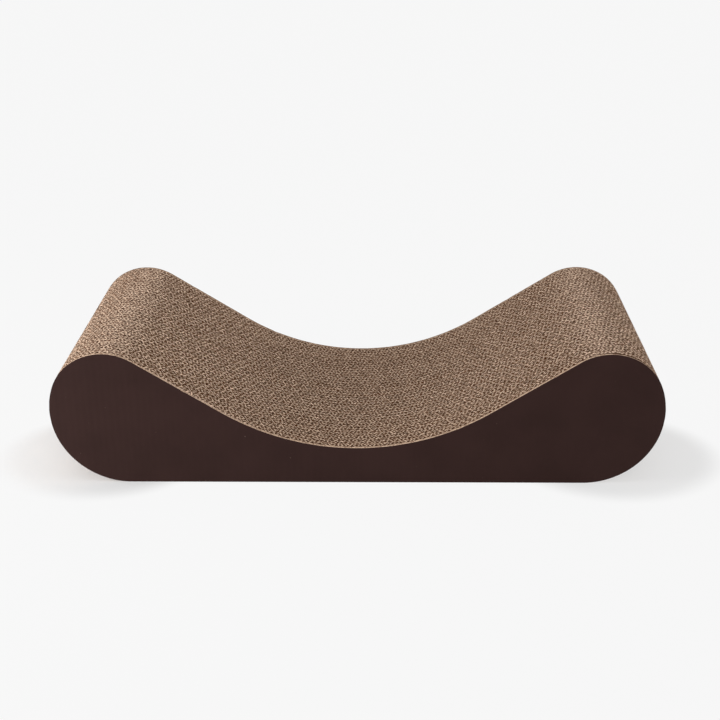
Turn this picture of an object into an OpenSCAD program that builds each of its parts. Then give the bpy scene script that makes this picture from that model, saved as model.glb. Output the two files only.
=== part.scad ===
// Low wave-shaped cat scratcher, glued up from die-cut corrugated boards.
// The boards stand on edge side by side, so their cut edges are the scratching surface.
// X runs along the length, Y across the boards and Z up. The origin is the bottom centre.

/* [Outline] */
// Length from end to end
length = 600; // [520:1:680]
// Height of the two raised ends
height = 138; // [120:1:150]
// Height of the lowest point of the saddle
saddle_h = 38; // [26:1:58]
// Radius of the rounded crest at each end
crest_r = 54; // [42:1:62]
// Angle above level at which the crest arc runs into the larger arc below it, in degrees
join_angle = 21; // [10:1:35]
// Slope of the straight flank between crest and saddle, in degrees
flank_angle = 32.4; // [30:0.2:35]

/* [Core boards] */
// Thickness of one flat liner of a double-wall core board
liner_t = 0.4; // [0.2:0.05:0.7]
// Height of the large flutes
c_flute_h = 2.9; // [2.2:0.1:4]
// Height of the small flutes
b_flute_h = 1.9; // [1.4:0.1:2.6]
// Pitch of the large flutes
c_pitch = 7.9; // [7:0.1:9]
// Thickness of the fluted paper
medium_t = 0.4; // [0.2:0.05:0.7]
// Depth to which the flutes are open below the cut edge
flute_open = 6; // [3:0.5:10]

/* [Side panels] */
// Height of the flutes in a side board
side_flute_h = 2.2; // [1.6:0.1:3]
// Pitch of the flutes in a side board
side_pitch = 6.6; // [5.6:0.1:8]
// Thickness of the printed paper on the outside of a side board
printed_t = 0.4; // [0.2:0.05:0.7]

/* [Hidden] */
board_count = 42;
board_t = 3 * liner_t + c_flute_h + b_flute_h;
core_w = board_count * board_t;
side_t = liner_t + side_flute_h;
// Depth by which neighbouring stretches of the outline run into each other, so that they cross
crossing = 0.02;
// Radius of the arc from the underside up to the crest arc
end_r = (height - crest_r * (1 - sin(join_angle))) / (1 + sin(join_angle));
end_c = [length / 2 - end_r, end_r];
crest_c = end_c + (end_r - crest_r) * [cos(join_angle), sin(join_angle)];
// Direction square to the flank, pointing up and inwards
flank_normal = [-sin(flank_angle), cos(flank_angle)];
// Radius of the saddle arc that touches both flanks
saddle_r = (cos(flank_angle) * saddle_h - flank_normal * crest_c - crest_r) / (1 - cos(flank_angle));
saddle_c = [0, saddle_h + saddle_r];
// Corners of the flank, where it leaves the crest arc and where it meets the saddle arc
crest_p = crest_c + (crest_r - crossing) * flank_normal;
saddle_p = saddle_c - (saddle_r - crossing) * flank_normal;
overrun = 1;
// Share of a pitch by which each board's flutes lie further along than its neighbour's
shift_share = 0.382;
kraft = [0.66, 0.53, 0.42];
kraft_dark = [0.55, 0.43, 0.33];
print_brown = [0.21, 0.155, 0.14];

core_names = [for (i = [1:board_count]) str("core_board_", i < 10 ? "0" : "", i)];
$fn = 240;

// The end disc, as far up as the line on which it meets the crest disc
module end_disc() {
  intersection() {
    translate(end_c - [0, crossing]) circle(end_r);
    translate(end_c) rotate(join_angle) translate([-2 * end_r, -2 * end_r]) square([4 * end_r, 2 * end_r]);
  }
}

// The die-cut outline that every board shares, with X across and height up
module board_outline() {
  difference() {
    union() {
      polygon([
        [-end_c.x, -overrun],
        [end_c.x, -overrun],
        crest_p,
        saddle_p,
        [-saddle_p.x, saddle_p.y],
        [-crest_p.x, crest_p.y]
      ]);
      for (side = [0, 1]) mirror([side, 0]) {
        end_disc();
        translate(crest_c) circle(crest_r);
      }
    }
    translate(saddle_c) circle(saddle_r);
    translate([-length / 2, -2 * overrun]) square([length, 2 * overrun]);
  }
}

// Stands a flat outline up in the XZ plane and gives it a thickness along Y
module stand(y, thickness) {
  translate([0, y + thickness, 0]) rotate([90, 0, 0]) linear_extrude(thickness) children();
}

// A row of small flutes, cut back below the liners over its whole length
module sunk_row(y, flute_h) {
  stand(y, flute_h) difference() {
    translate([-length / 2 - overrun, overrun]) square([length + 2 * overrun, height]);
    translate([0, -flute_open]) board_outline();
  }
}

// The space behind one sheet of fluted paper, seen from above: a zigzag along the board
module flute_mouths(y, flute_h, pitch, shift) {
  end_x = length / 2 + overrun;
  near_y = y + medium_t;
  far_y = y + flute_h - medium_t;
  polygon(concat(
    [[-end_x, y + flute_h], [-end_x, near_y]],
    [for (i = [0:length / pitch - 1], half = [0, 1]) [
      (i + half / 2) * pitch + shift - length / 2,
      half == 0 ? near_y : far_y
    ]],
    [[end_x, near_y], [end_x, y + flute_h]]
  ));
}

// A row of flutes whose mouths are open at the cut edge
module fluted_row(y, flute_h, pitch, shift) {
  difference() {
    translate([0, 0, overrun]) linear_extrude(height) flute_mouths(y, flute_h, pitch, shift);
    stand(y - overrun, flute_h + 2 * overrun) translate([0, -flute_open]) board_outline();
  }
}

// One double-wall board: three liners up to the cut edge, and a row of flutes between each two
module core_board(i) {
  y = -core_w / 2 + i * board_t;
  c_y = y + liner_t;
  b_y = c_y + c_flute_h + liner_t;
  shift = c_pitch * ((i * shift_share) % 1);
  color(kraft) difference() {
    stand(y, board_t) board_outline();
    fluted_row(c_y, c_flute_h, c_pitch, shift);
    sunk_row(b_y, b_flute_h);
  }
}

// The single-wall board that closes one side of the core, with its inner liner against the core
module side_board() {
  y = -core_w / 2 - side_t;
  color(kraft_dark) difference() {
    stand(y, side_t) board_outline();
    fluted_row(y, side_flute_h, side_pitch, 0);
  }
}

// The printed paper on the outside of a side board
module printed_liner() {
  color(print_brown) stand(-core_w / 2 - side_t - printed_t, printed_t) board_outline();
}

module front_side_board() {
  side_board();
}

module front_printed_liner() {
  printed_liner();
}

module back_side_board() {
  mirror([0, 1, 0]) side_board();
}

module back_printed_liner() {
  mirror([0, 1, 0]) printed_liner();
}

for (i = [0:board_count - 1]) core_board(i);
front_side_board();
front_printed_liner();
back_side_board();
back_printed_liner();
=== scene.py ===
import math

import bpy
import numpy as np
from mathutils import Matrix, Vector


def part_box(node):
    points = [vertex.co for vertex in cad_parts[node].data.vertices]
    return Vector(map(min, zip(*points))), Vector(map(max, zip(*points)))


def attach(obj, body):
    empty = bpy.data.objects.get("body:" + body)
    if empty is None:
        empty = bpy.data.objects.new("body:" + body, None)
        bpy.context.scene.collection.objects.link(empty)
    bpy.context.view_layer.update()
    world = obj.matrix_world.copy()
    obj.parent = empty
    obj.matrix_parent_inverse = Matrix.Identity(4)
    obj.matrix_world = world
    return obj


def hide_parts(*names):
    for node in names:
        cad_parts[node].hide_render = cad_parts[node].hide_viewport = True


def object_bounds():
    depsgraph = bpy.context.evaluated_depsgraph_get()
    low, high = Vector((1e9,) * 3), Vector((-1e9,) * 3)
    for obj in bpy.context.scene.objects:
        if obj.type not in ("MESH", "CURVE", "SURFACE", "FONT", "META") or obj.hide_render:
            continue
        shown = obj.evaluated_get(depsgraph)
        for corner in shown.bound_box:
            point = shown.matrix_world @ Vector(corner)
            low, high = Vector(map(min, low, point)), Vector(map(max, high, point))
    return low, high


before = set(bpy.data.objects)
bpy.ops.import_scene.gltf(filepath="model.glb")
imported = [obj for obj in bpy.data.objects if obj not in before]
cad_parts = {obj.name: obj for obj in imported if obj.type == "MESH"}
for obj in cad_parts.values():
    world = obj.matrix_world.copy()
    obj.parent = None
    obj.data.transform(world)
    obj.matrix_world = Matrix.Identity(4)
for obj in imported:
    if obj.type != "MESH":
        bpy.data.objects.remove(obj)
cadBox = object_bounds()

print("frame loaded,", len(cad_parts), "CAD nodes")

coreNames = sorted(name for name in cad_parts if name.startswith("core_board_"))
halfLength = (cadBox[1].x - cadBox[0].x) / 2
height = cadBox[1].z
mm = 0.001


# Shader helpers

class Wire:  # a shader socket that plain sums can be written with
    def __init__(self, tree, socket):
        self.tree = tree
        self.socket = socket

    def maths(self, operation, first, second):
        node = self.tree.nodes.new("ShaderNodeMath")
        node.operation = operation
        plug(self.tree, node.inputs[0], first)
        plug(self.tree, node.inputs[1], second)
        return Wire(self.tree, node.outputs[0])

    def __add__(self, other):
        return self.maths("ADD", self, other)

    def __radd__(self, other):
        return self.maths("ADD", other, self)

    def __sub__(self, other):
        return self.maths("SUBTRACT", self, other)

    def __rsub__(self, other):
        return self.maths("SUBTRACT", other, self)

    def __mul__(self, other):
        return self.maths("MULTIPLY", self, other)

    def __rmul__(self, other):
        return self.maths("MULTIPLY", other, self)

    def __gt__(self, other):
        return self.maths("GREATER_THAN", self, other)

    def __abs__(self):
        return self.maths("ABSOLUTE", self, 0)


def plug(tree, socket, value):
    if isinstance(value, Wire):
        tree.links.new(value.socket, socket)
    else:
        socket.default_value = value


class Finish:  # one material, its nodes and its shader
    def __init__(self, name, shader="BsdfPrincipled", **fixed):
        self.material = bpy.data.materials.new(name)
        self.material.use_nodes = True
        self.tree = self.material.node_tree
        self.tree.nodes.clear()
        output = self.tree.nodes.new("ShaderNodeOutputMaterial")
        self.shader = self.tree.nodes.new("ShaderNode" + shader)
        self.tree.links.new(self.shader.outputs[0], output.inputs["Surface"])
        self.feed(**fixed)

    def feed(self, **values):
        for socket, value in values.items():
            plug(self.tree, self.shader.inputs[socket.replace("_", " ")], value)

    def node(self, kind, settings, values, output=0):
        made = self.tree.nodes.new("ShaderNode" + kind)
        for key, value in settings.items():
            setattr(made, key, value)
        for key, value in values.items():
            plug(self.tree, made.inputs[key], value)
        return Wire(self.tree, made.outputs[output])

    def attribute(self, name):
        return self.node("Attribute", {"attribute_name": name}, {}, "Fac")

    def noise(self, where, scale, detail, roughness=0.5):
        values = {"Vector": where, "Scale": scale, "Detail": detail, "Roughness": roughness}
        return self.node("TexNoise", {}, values)

    def stretch(self, where, factors):
        return self.node("VectorMath", {"operation": "MULTIPLY"}, {0: where, 1: factors})

    def blend(self, factor, first, second):
        # a Mix node has its factor at socket 0, its colours at 6 and 7, and the mixed colour at output 2
        settings = {"data_type": "RGBA", "clamp_factor": True}
        return self.node("Mix", settings, {0: factor, 6: first, 7: second}, 2)

    def smooth(self, value, low, high):
        settings = {"interpolation_type": "SMOOTHSTEP"}
        return self.node("MapRange", settings, {"Value": value, "From Min": low, "From Max": high})

    def bump(self, relief, distance, strength):
        return self.node("Bump", {}, {"Height": relief, "Distance": distance, "Strength": strength})


def screen(red, green, blue):  # a colour as a screen shows it, 0 to 255, as linear light
    def linear(level):
        level /= 255
        return level / 12.92 if level <= 0.04045 else ((level + 0.055) / 1.055) ** 2.4
    return (linear(red), linear(green), linear(blue), 1)


# The die-cut outline that every board shares

outlineCut = {
    "crestRadius": 54 * mm,
    "joinAngle": math.radians(21),      # where the crest arc meets the end arc
    "flankAngle": math.radians(32.4),
    "saddleHeight": 38 * mm,
}


def cutOutline(cut):
    crest, join, flank = cut["crestRadius"], cut["joinAngle"], cut["flankAngle"]
    end = (height - crest * (1 - math.sin(join))) / (1 + math.sin(join))    # the end arc's radius
    endX, endZ = halfLength - end, end
    crestX = endX + (end - crest) * math.cos(join)
    crestZ = endZ + (end - crest) * math.sin(join)
    normalX, normalZ = -math.sin(flank), math.cos(flank)        # square to the flank
    reach = normalX * -crestX + normalZ * (cut["saddleHeight"] - crestZ)
    saddle = (reach - crest) / (1 - math.cos(flank))            # the saddle arc's radius
    saddleZ = cut["saddleHeight"] + saddle
    flankX, flankZ = -saddle * normalX, saddleZ - saddle * normalZ

    def arc(x, centreX, centreZ, radius, side):
        return centreZ + side * np.sqrt(np.maximum(radius ** 2 - (x - centreX) ** 2, 0))

    def topAt(x):
        x = np.abs(x)
        return np.select(
            [x < flankX, x < crestX + crest * normalX, x < endX + end * math.cos(join)],
            [arc(x, 0, saddleZ, saddle, -1), flankZ + (x - flankX) * math.tan(flank),
             arc(x, crestX, crestZ, crest, 1)],
            arc(x, endX, endZ, end, 1))

    def bottomAt(x):
        x = np.abs(x)
        return np.where(x < endX, 0, arc(x, endX, endZ, end, -1))

    return topAt, bottomAt


topAt, bottomAt = cutOutline(outlineCut)


# Sheets of paper

sheetMesh = {
    "waveSpread": (0.6, 1.6),       # how far a wander's waves differ in length, as shares of the one given
    "sizeSpread": (0.4, 1),         # and in size
    "endInset": 0.05 * mm,          # how far short of the outline's ends a sheet stops
    "endLength": 12 * mm,           # the stretch at each end where the places lie closer together
    "endPlaces": 9,                 # and how many there are
    "perFlute": 8,                  # places along one flute
    "steepest": 1.5,                # the steepest slope along which a sheet's thickness is slanted
    "sharpAngle": math.radians(50),
}


def wobble(random, length, size, parts=4):  # a smooth wander of about that wavelength and size
    waves = 2 * math.pi / (length * random.uniform(*sheetMesh["waveSpread"], parts))
    starts = random.uniform(0, 2 * math.pi, parts)
    sizes = random.uniform(*sheetMesh["sizeSpread"], parts) * size / math.sqrt(parts)

    def at(x):
        return (np.sin(np.outer(x, waves) + starts) * sizes).sum(1)

    return at


def hump(x, shape):  # a smooth rise, from its place, its width and its size
    place, wide, size = shape
    return size * np.exp(-((x - place) / wide) ** 2)


def stations(step):  # places along the length, closer together towards the ends
    end = sheetMesh["endLength"]
    inner = np.arange(-halfLength + end, halfLength - end, step)
    turn = np.linspace(0, math.pi / 2, sheetMesh["endPlaces"] + 1)[1:]
    tail = halfLength - sheetMesh["endInset"] - end * (1 - np.sin(turn))
    return np.concatenate([-tail[::-1], inner, tail])


def fluteStations(pitch):  # places along the length that follow the flutes
    last = halfLength - sheetMesh["endInset"]
    return np.append(np.arange(-last, halfLength, pitch / sheetMesh["perFlute"]), last)


def fluteLine(near, far, phase):
    return near + (far - near) * (0.5 - 0.5 * np.cos(phase))


def paperSheet(x, rows, tone, frayAndHighlight):
    # rows run from the underside to the top edge, each a height, a place across, a thickness
    # and a depth below the cut edge, which at the ends is never more than the distance to them
    # the last argument says how pale the cut edge is, from 0 to 1: real fraying, with a painted highlight
    # added at the crests and the left end
    count, around = len(x), 2 * len(rows)
    inside = halfLength - np.abs(x)
    fronts, backs, depths = [], [], []
    for z, y, thickness, depth in rows:
        slope = np.gradient(y, x)
        side = np.sqrt(1 + slope ** 2)
        shiftX, shiftY = -slope / side * thickness / 2, thickness / 2 / side
        shiftZ = shiftX * np.clip(np.gradient(z, x), -sheetMesh["steepest"], sheetMesh["steepest"])
        fronts.append(np.stack([x - shiftX, y - shiftY, z - shiftZ], 1))
        backs.append(np.stack([x + shiftX, y + shiftY, z + shiftZ], 1))
        depths.append(np.minimum(depth, inside))
    places = np.stack(fronts + backs[::-1], 1).reshape(-1, 3)
    near = np.arange(around)
    far = (near + 1) % around
    start = np.arange(count - 1)[:, None] * around
    faces = np.stack([start + near, start + around + near, start + around + far, start + far], -1)
    front = np.tile(near < len(rows) - 1, count - 1)
    back = np.tile((near >= len(rows)) & (near < around - 1), count - 1)
    row = np.arange(len(rows) - 1)
    cap = np.stack([row, row + 1, around - 2 - row, around - 1 - row], -1)
    faces = np.concatenate([faces.reshape(-1, 4), cap, cap[:, ::-1] + (count - 1) * around])
    none = np.zeros(2 * len(row), bool)     # the caps at both ends
    return {
        "places": places,
        "faces": faces,
        "depth": np.stack(depths + depths[::-1], 1).ravel(),
        "tone": np.full(len(places), tone),
        "frayAndHighlight": np.repeat(frayAndHighlight + x * 0, around),
        "front": np.concatenate([front, none]),
        "back": np.concatenate([back, none]),
    }


def makePiece(name, sheets, material, inked=None):  # inked is front or back, the side that is printed
    starts = np.cumsum([0] + [len(sheet["places"]) for sheet in sheets])
    mesh = bpy.data.meshes.new(name)
    places = np.concatenate([sheet["places"] for sheet in sheets])
    faces = np.concatenate([sheet["faces"] + start for sheet, start in zip(sheets, starts)])
    mesh.from_pydata(places.tolist(), [], faces.tolist())
    for label in ("depth", "tone", "frayAndHighlight"):
        values = np.concatenate([sheet[label] for sheet in sheets])
        mesh.attributes.new(label, "FLOAT", "POINT").data.foreach_set("value", values)
    if inked:
        values = np.concatenate([sheet[inked] for sheet in sheets]).astype(float)
        mesh.attributes.new("printed", "FLOAT", "FACE").data.foreach_set("value", values)
    mesh.shade_smooth()
    mesh.set_sharp_from_angle(angle=sheetMesh["sharpAngle"])
    mesh.materials.append(material)
    piece = bpy.data.objects.new(name, mesh)
    bpy.context.scene.collection.objects.link(piece)
    return piece


# Kraft paper

kraftLook = {
    # paper and paperDark are far darker than kraft: painted shade on the walls below the cut edge, with
    # the paper's random tone between them
    "paper": screen(94, 47, 9),
    "paperDark": screen(66, 31, 5),
    # cutEdge and frayedEdge are the torn fibres' own paler colours; frayedEdge also paints the highlight
    # on the crests and the left end
    "cutEdge": screen(159, 130, 102),
    "frayedEdge": screen(255, 223, 196),
    "specular": 0.25,
    "mottle": (260, 3),             # each noise has a scale, per metre, and a detail
    "fibreStretch": (900, 900, 260),
    "fibre": (1, 3, 0.6),           # and this one a roughness too
    "tuft": (1400, 2),
    "patch": (600, 2),
    "shares": (0.6, 0.4),           # of mottle and of fibre in the paper's colour
    "paperRange": (0.3, 0.75),
    "patchRange": (0.35, 0.65),
    "cutDepth": 0.14 * mm,          # how far down the torn, lighter fibres reach; below that the walls take the dark paper colour, painted shade in the flutes
    "fray": 0.14 * mm,              # and how far that differs from place to place
    "cover": (0.05, 0.4, 1.05),     # how much of the edge they cover: everywhere, by tuft and by patch
    "roughness": (0.82, 0.15),      # the least, and how much fibre adds
    "tuftRelief": 0.6,
    "relief": (0.05 * mm, 0.6),
}


def kraftPaper(look):
    finish = Finish("kraft_paper", Specular_IOR_Level=look["specular"])
    where = finish.node("TexCoord", {}, {}, "Object")
    mottle = finish.noise(where, *look["mottle"])
    fibre = finish.noise(finish.stretch(where, look["fibreStretch"]), *look["fibre"])
    tuft = finish.noise(where, *look["tuft"])
    patch = finish.smooth(finish.noise(where, *look["patch"]), *look["patchRange"])
    mottleShare, fibreShare = look["shares"]
    shade = mottle * mottleShare + fibre * fibreShare + finish.attribute("tone")
    paper = finish.blend(finish.smooth(shade, *look["paperRange"]), look["paperDark"], look["paper"])
    depth = finish.attribute("depth") + (tuft - 0.5) * look["fray"]
    # the torn edge is pale; below it the walls take the dark paper colour, which is painted shade inside
    # the flutes
    cut = 1 - finish.smooth(depth, 0, look["cutDepth"])
    edge = finish.blend(finish.attribute("frayAndHighlight"), look["cutEdge"], look["frayedEdge"])
    least, byTuft, byPatch = look["cover"]
    colour = finish.blend(cut * (least + byTuft * tuft + byPatch * patch), paper, edge)
    smoothest, byFibre = look["roughness"]
    finish.feed(Base_Color=colour, Roughness=smoothest + byFibre * fibre,
                Normal=finish.bump(fibre + look["tuftRelief"] * tuft, *look["relief"]))
    return finish.material


# Dark printed paper on the outside of the side boards

printLook = {
    "print": screen(48, 30, 27),
    "printLight": screen(53, 34, 31),
    "fleckPale": screen(104, 86, 78),
    "specular": 0.15,
    "cloud": (22, 4),
    "grain": (1500, 2),
    "fibre": (900, 3),
    "fleckStretch": (1, 1, 0.7),
    "fleck": (330, 1),
    "shares": (0.6, 0.4),           # of cloud and of grain in the print's colour
    "printRange": (0.35, 0.65),
    "fleckRange": (0.8, 0.86),      # only the noise's few peaks show as flecks
    "edgeCover": 0.5,               # how much of a frayed edge is pale, before fibre adds to it
    "roughness": (0.72, 0.2),
    "relief": (0.02 * mm, 0.5),
}


def printedPaper(look, edgeLook):
    finish = Finish("printed_paper", Specular_IOR_Level=look["specular"])
    where = finish.node("TexCoord", {}, {}, "Object")
    cloud = finish.noise(where, *look["cloud"])
    grain = finish.noise(where, *look["grain"])
    fibre = finish.noise(where, *look["fibre"])
    fleck = finish.noise(finish.stretch(where, look["fleckStretch"]), *look["fleck"])
    cloudShare, grainShare = look["shares"]
    shade = finish.smooth(cloud * cloudShare + grain * grainShare, *look["printRange"])
    face = finish.blend(shade, look["print"], look["printLight"])
    face = finish.blend(finish.smooth(fleck, *look["fleckRange"]), face, look["fleckPale"])
    # unprinted faces take the kraft's dark paper colour, darkened as painted shade, and are pale where
    # frayed
    pale = finish.attribute("frayAndHighlight") * (look["edgeCover"] + fibre)
    edge = finish.blend(pale, edgeLook["paper"], edgeLook["frayedEdge"])
    smoothest, byGrain = look["roughness"]
    finish.feed(Base_Color=finish.blend(finish.attribute("printed"), edge, face),
                Roughness=smoothest + byGrain * grain, Normal=finish.bump(grain, *look["relief"]))
    return finish.material


kraft = kraftPaper(kraftLook)
ink = printedPaper(printLook, kraftLook)


# Core boards: three liners, with large flutes between the first two and small ones behind the second

corePaper = {
    "liner": 0.4 * mm,
    "medium": 0.32 * mm,            # the fluted paper
    "largeFlute": 2.9 * mm,
    # the large and the small flutes: their pitch, how far a board's lie along from its neighbour's,
    # in pitches, and how much their tips on the farther liner are frayed as well
    "flutes": [(7.9 * mm, 0.335, 0), (6.6 * mm, -0.357, 1.3)],
    "shiftJitter": 0.03,
    "step": 4 * mm,                 # between the places along a liner
    "drift": (200 * mm, 0.03),      # how the flutes wander along a board: wavelength, and size in pitches
    "lean": (14 * mm, 0.2),         # and their mouths besides, in radians
    "wave": (70 * mm, 0.25 * mm),   # how far a liner wanders across
    "bend": (24 * mm, 0.35 * mm),   # and its cut edge besides
    "bentDepth": 5 * mm,            # how far below the cut edge the paper starts to bend
    "lipDepth": 0.7 * mm,           # and to widen
    "linerLip": 0.35 * mm,
    "tipLip": 0.35 * mm,            # the fluted paper's width at the cut edge, where it lies on a liner
    "crossingLip": 0.9 * mm,        # and between the liners, where the die has crushed and frayed it
    "crushed": 0.2 * mm,            # from a liner's middle to the fluted paper's, where they meet there
    "linerFray": 0.3,
    "patchy": 0.35,                 # how unevenly the crossings are frayed
    "patchLength": 14 * mm,
    "patchParts": 6,
    # place, width and size: each crest's edges are wider, and paler as a painted highlight on the crest
    "crestHighlight": (238 * mm, 20 * mm, 0.29),
    "endHighlight": (-297 * mm, 18 * mm, 0.3),       # the left end's edges are wider, and paler as a painted highlight
    "frontWear": (-150 * mm, 45 * mm, 1.8),     # the first liner is rubbed wide beside the side panel
    "frontGap": (262 * mm, 24 * mm, 1.5 * mm),  # and here it stands off the panel
    "cutLength": 30 * mm,           # how unevenly the edges are cut, along a sheet and from sheet to sheet
    "cutJitter": 0.15 * mm,
    "toneSpread": 0.12,
    "seed": 11,
}


def makeSeam(paper, random):  # how a liner wanders over its height, and at the cut edge besides
    return {"low": wobble(random, *paper["wave"]), "top": wobble(random, *paper["bend"])}


def coreBoard(name, index, paper, random, nearSeam, farSeam):
    low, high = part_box(name)
    liner, medium, crushed, spread = paper["liner"], paper["medium"], paper["crushed"], paper["toneSpread"]
    midY = low.y + liner + paper["largeFlute"] + liner / 2
    midSeam = makeSeam(paper, random)
    lines = [(low.y + liner / 2, nearSeam), (midY, midSeam), (high.y - liner / 2, farSeam)]
    sheets = []

    def across(x, line):
        place, seam = line
        lowY = place + seam["low"](x)
        return lowY, lowY + seam["top"](x)

    def rowsOf(x, lowY, topY, thickness, lip):
        top, bottom = topAt(x), bottomAt(x)
        cut = wobble(random, paper["cutLength"], paper["cutJitter"])(x)
        cut = cut + random.uniform(-1, 1) * paper["cutJitter"]
        middle = np.maximum(top - paper["bentDepth"], (top + bottom) / 2)
        neck = np.maximum(top - paper["lipDepth"], middle)
        thickness = thickness + (lip - thickness) * (halfLength - np.abs(x) < paper["lipDepth"])
        return [(bottom, lowY, lip, 0), (middle, lowY, thickness, paper["bentDepth"]),
                (neck, topY, thickness, paper["lipDepth"]), (top + cut, topY, lip, 0)]

    # the crests and the left end: wider edges, and paler ones as a painted highlight
    def highlightAt(x):
        return hump(np.abs(x), paper["crestHighlight"]) + hump(x, paper["endHighlight"])

    x = stations(paper["step"])
    for line in lines:
        # painted highlight at the crests and the left end, plus real rubbing of the first liner beside the
        # side panel
        highlightAndWear = highlightAt(x) + hump(x, paper["frontWear"]) * (index == 0 and line is lines[0])
        rows = rowsOf(x, *across(x, line), liner, paper["linerLip"] * (1 + highlightAndWear))
        sheets.append(paperSheet(x, rows, random.uniform(-spread, spread), paper["linerFray"] + highlightAndWear))
    for near, far, (pitch, shift, tip) in zip(lines, lines[1:], paper["flutes"]):
        x = fluteStations(pitch)
        start = index * shift + random.normal(0, paper["shiftJitter"])
        phase = 2 * math.pi * (x / pitch + start + wobble(random, *paper["drift"])(x))
        mouth = phase + wobble(random, *paper["lean"])(x)
        (nearLow, nearTop), (farLow, farTop) = across(x, near), across(x, far)
        skin = (liner + medium) / 2
        lowY = fluteLine(nearLow + skin, farLow - skin, phase)
        topY = fluteLine(nearTop + crushed, farTop - crushed, mouth)
        patches = 1 + paper["patchy"] * wobble(random, paper["patchLength"], 1, paper["patchParts"])(x)
        farTip = tip * np.maximum(-np.cos(mouth), 0) ** 2
        # the crossings are widened and paled there too, as painted highlight
        crossing = np.maximum(np.sin(mouth) ** 2, farTip) * patches + highlightAt(x)
        lip = paper["tipLip"] + (paper["crossingLip"] - paper["tipLip"]) * np.maximum(crossing, 0)
        rows = rowsOf(x, lowY, topY, medium, lip)
        sheets.append(paperSheet(x, rows, random.uniform(-spread, spread), np.clip(crossing, 0, 1)))
    return makePiece(name + "_paper", sheets, kraft)


coreRandom = np.random.default_rng(corePaper["seed"])
coreSeams = [makeSeam(corePaper, coreRandom) for _ in range(len(coreNames) + 1)]
coreSeams[0] = {"low": lambda x: x * 0, "top": lambda x: hump(x, corePaper["frontGap"])}
coreSeams[-1] = {"low": lambda x: x * 0, "top": lambda x: x * 0}    # the outermost liners lie flat
for index, name in enumerate(coreNames):
    board = coreBoard(name, index, corePaper, coreRandom, coreSeams[index], coreSeams[index + 1])
    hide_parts(name)
    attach(board, "root")
print("core boards built,", len(coreNames))


# Side boards and the printed paper on them

sidePanel = {
    "liner": 0.4 * mm,
    "medium": 0.32 * mm,
    "pitch": 6.6 * mm,
    "step": 3 * mm,                 # between the places along the inner liner
    "crushDepth": 3 * mm,           # the flutes are pressed shut this far in from the cut edges
    "crushShare": 0.9,              # and over at most this share of the lower half where the ends taper
    "lipDepth": 0.7 * mm,
    "innerPlace": 0.75 * mm,        # where the pressed edges lie, from the core outwards,
    "flutePlace": 1.95 * mm,
    "innerLip": 1.3 * mm,           # how wide they are
    "fluteLip": 1.1 * mm,
    "printLip": 0.45 * mm,
    "innerDrop": 0.2 * mm,          # and how far below the outline they end
    "fluteDrop": 0.1 * mm,
    "printLean": 0.1 * mm,          # how far the printed paper's edge is pressed in
    "innerTone": 0.1,               # the inner liner is a little lighter
    "rimFray": {"front": 0.5, "back": 0.05},
    "sag": (60 * mm, 0.15 * mm),    # how unevenly the inner liner's edge stands off from the core
    "jag": (9 * mm, 0.12 * mm),     # how unevenly the edges are cut
    # place, width and size: where the inner liner stands off further, and nicks in the printed paper
    "gaps": [(-150 * mm, 40 * mm, 0.5 * mm), (262 * mm, 24 * mm, 1.1 * mm)],
    "nicks": [(193 * mm, 1.2 * mm, 1.2 * mm), (-168 * mm, 1.5 * mm, 0.8 * mm),
              (100 * mm, 2.5 * mm, 0.4 * mm)],
    "washboard": 0.03 * mm,         # how far the flutes show through the printed paper
    "seed": 29,
}


def sidePieces(side, paper, direction):
    # direction is 1 where the printed face looks along -Y, and -1 where it looks along +Y
    random = np.random.default_rng(paper["seed"] + direction)
    low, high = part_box(side + "_side_board")
    printLow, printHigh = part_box(side + "_printed_liner")
    innerY = high.y if direction > 0 else low.y
    outerY = printLow.y if direction > 0 else printHigh.y
    liner, medium, fray = paper["liner"], paper["medium"], paper["rimFray"][side]
    sag = wobble(random, *paper["sag"])
    jag = wobble(random, *paper["jag"])

    def rowsOf(x, lowY, topY, drop, thickness, lip):
        top, bottom = topAt(x), bottomAt(x)
        middle = np.maximum(top - paper["crushDepth"], (top + bottom) / 2)
        neck = np.maximum(top - paper["lipDepth"], middle)
        foot = bottom + np.minimum(paper["crushDepth"], paper["crushShare"] * (middle - bottom))
        return [(bottom, topY, lip, 0), (foot, lowY, thickness, paper["crushDepth"]),
                (middle, lowY, thickness, paper["crushDepth"]),
                (neck, topY, thickness, paper["lipDepth"]), (top - drop, topY, lip, 0)]

    x = stations(paper["step"])
    gap = sum(hump(x * direction, shape) for shape in paper["gaps"])
    linerY = innerY - direction * liner / 2 + x * 0
    pressedY = innerY - direction * (paper["innerPlace"] + sag(x) + gap)
    rows = rowsOf(x, linerY, pressedY, jag(x) + paper["innerDrop"], liner, paper["innerLip"])
    inner = paperSheet(x, rows, paper["innerTone"], fray)

    x = fluteStations(paper["pitch"])
    phase = 2 * math.pi * x / paper["pitch"]
    skin = direction * (liner + medium / 2)
    zigzag = fluteLine(innerY - skin, outerY + skin, phase)
    pressedY = innerY - direction * paper["flutePlace"] + x * 0
    rows = rowsOf(x, zigzag, pressedY, jag(x) + paper["fluteDrop"], medium, paper["fluteLip"])
    board = makePiece(side + "_side_board_paper", [inner, paperSheet(x, rows, 0, fray)], kraft)

    ripple = paper["washboard"] * np.cos(phase) * direction
    faceY = outerY + direction * (liner / 2 + paper["washboard"]) + ripple
    edgeY = faceY + direction * paper["printLean"]
    nick = sum(hump(x * direction, shape) for shape in paper["nicks"])
    rows = rowsOf(x, faceY, edgeY, nick + np.abs(jag(x)), liner, paper["printLip"])
    face = makePiece(side + "_printed_paper", [paperSheet(x, rows, 0, fray)], ink,
                     "front" if direction > 0 else "back")
    for piece, node, slot in ((board, "_side_board", "kraft_side"),
                              (face, "_printed_liner", "printed_paper")):
        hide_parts(side + node)
        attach(piece, "root")


sidePieces("front", sidePanel, 1)
sidePieces("back", sidePanel, -1)
print("side panels built")


# Studio

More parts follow.
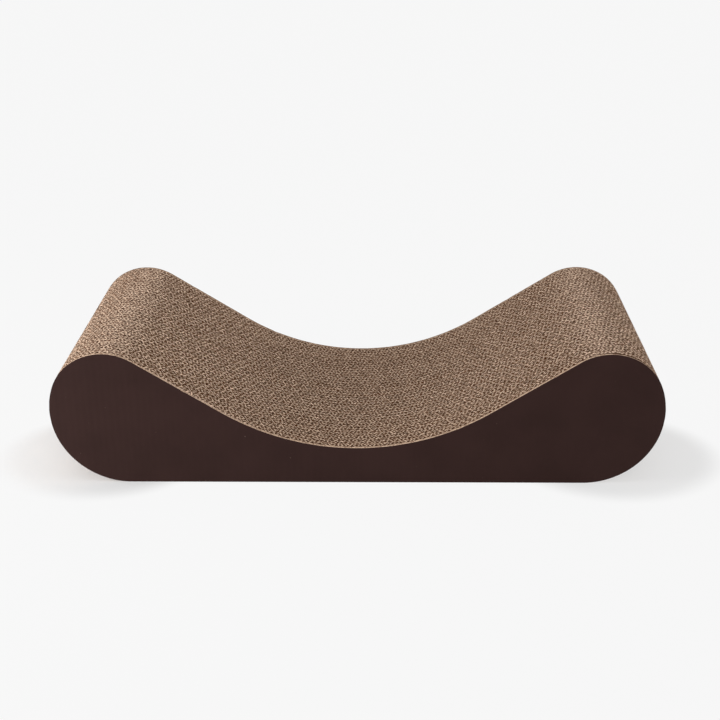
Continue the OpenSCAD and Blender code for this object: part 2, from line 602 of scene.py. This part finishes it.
studio = {
    "floorSize": 40,
    # the grey floor shows mainly by the raised ends, where it darkens the floor as painted shade
    "floorColour": (0.67, 0.67, 0.67, 1),
    "seenWhite": screen(248, 248, 248),
    # how far the floor is seen as an even white: by the left end, by the right end and elsewhere; by the
    # ends the grey floor shows, as painted shade around the object's real shadow
    "floorEven": (0.2, 0.6, 0.97),
    "endPlace": (0.265, -0.07),     # the middle of the grey floor patch by each raised end: painted shade around the real shadow
    "endReach": (0.09, 0.08),       # and how far it goes along x and y
    "endFade": (0.8, 1.7),
    "skyColour": (1, 1, 1, 1),
    "skyLevel": 0.3,
    # kind, name, where it shines from, how bright a white surface facing it gets, and how wide it is
    "lamps": [
        ("SUN", "top", (0, 0, 1), 0.19, math.radians(60)),
        ("SUN", "right", (0.98, 0, 0.21), 0.5, math.radians(50)),
        ("SUN", "front", (0, -0.82, 0.57), 0.27, math.radians(50)),
        ("AREA", "left", (-0.95, -0.3, 0.35), 0.7, (0.5, 0.4)),
    ],
}


def makeFloor(look):
    half = look["floorSize"] / 2
    corners = [(-half, -half, 0), (half, -half, 0), (half, half, 0), (-half, half, 0)]
    mesh = bpy.data.meshes.new("floor")
    mesh.from_pydata(corners, [], [(0, 1, 2, 3)])
    finish = Finish("pale_floor", "MixShader")
    diffuse = finish.node("BsdfDiffuse", {}, {"Color": look["floorColour"]})
    even = finish.node("Emission", {}, {"Color": look["seenWhite"], "Strength": 1})
    seen = finish.node("LightPath", {}, {}, "Is Camera Ray")
    where = finish.node("TexCoord", {}, {}, "Object")
    x, y = (finish.node("SeparateXYZ", {}, {"Vector": where}, axis) for axis in "XY")
    (endX, endY), (reachX, reachY) = look["endPlace"], look["endReach"]
    offX = (abs(x) - endX) * (1 / reachX)
    offY = (y - endY) * (1 / reachY)
    left, right, elsewhere = look["floorEven"]
    nearBy = left + (right - left) * (x > 0)
    # less white by the raised ends leaves the grey floor showing there: painted shade, along with the
    # object's real shadow
    share = nearBy + (elsewhere - nearBy) * finish.smooth(offX * offX + offY * offY, *look["endFade"])
    for index, value in enumerate((seen * share, diffuse, even)):
        plug(finish.tree, finish.shader.inputs[index], value)
    mesh.materials.append(finish.material)
    floor = bpy.data.objects.new("floor", mesh)
    bpy.context.scene.collection.objects.link(floor)


def makeWorld(look):
    world = bpy.data.worlds.new("studio")
    bpy.context.scene.world = world
    world.use_nodes = True
    tree = world.node_tree
    tree.nodes.clear()
    output = tree.nodes.new("ShaderNodeOutputWorld")
    mix = tree.nodes.new("ShaderNodeMixShader")
    sky = tree.nodes.new("ShaderNodeBackground")
    sky.inputs["Color"].default_value = look["skyColour"]
    sky.inputs["Strength"].default_value = look["skyLevel"]
    seen = tree.nodes.new("ShaderNodeBackground")
    seen.inputs["Color"].default_value = look["seenWhite"]
    path = tree.nodes.new("ShaderNodeLightPath")
    camera, glossy, through = (Wire(tree, path.outputs[name]) for name in
                               ("Is Camera Ray", "Is Glossy Ray", "Is Transmission Ray"))
    plug(tree, mix.inputs[0], (camera + glossy + through) > 0.5)
    tree.links.new(sky.outputs[0], mix.inputs[1])
    tree.links.new(seen.outputs[0], mix.inputs[2])
    tree.links.new(mix.outputs[0], output.inputs["Surface"])


def makeLamp(kind, name, place, level, size):
    lamp = bpy.data.lights.new(name, kind)
    if kind == "SUN":
        lamp.energy = level * math.pi
        lamp.angle = size
    else:
        lamp.shape = "RECTANGLE"
        lamp.size, lamp.size_y = size
        lamp.energy = level * (math.pi * Vector(place).length) ** 2
    shade = bpy.data.objects.new(name, lamp)
    shade.location = place
    shade.rotation_euler = Vector(place).to_track_quat("Z", "Y").to_euler()     # lamps shine along -Z
    bpy.context.scene.collection.objects.link(shade)


# Camera, fitted to the photograph's outline

cameraView = {
    "place": (32.26 * mm, -1257.62 * mm, 609.86 * mm),
    "pitch": 0.40022,
    "yaw": 0.02461,
    "roll": 0.00871,
    "focal": 1282.06,               # in pixels of the picture's width
    "width": 720,
    "sensor": 36,                   # in millimetres
}


def makeCamera(view):
    lens = bpy.data.cameras.new("camera")
    lens.sensor_fit = "HORIZONTAL"
    lens.sensor_width = view["sensor"]
    lens.lens = view["focal"] / view["width"] * view["sensor"]
    camera = bpy.data.objects.new("camera", lens)
    turn = (Matrix.Rotation(view["yaw"], 4, "Z") @ Matrix.Rotation(math.pi / 2 - view["pitch"], 4, "X")
            @ Matrix.Rotation(-view["roll"], 4, "Z"))
    camera.matrix_world = Matrix.Translation(view["place"]) @ turn
    bpy.context.scene.collection.objects.link(camera)
    bpy.context.scene.camera = camera


makeFloor(studio)
makeWorld(studio)
for lamp in studio["lamps"]:
    makeLamp(*lamp)
makeCamera(cameraView)
bpy.context.scene.view_settings.view_transform = "Standard"
print("studio and camera set")
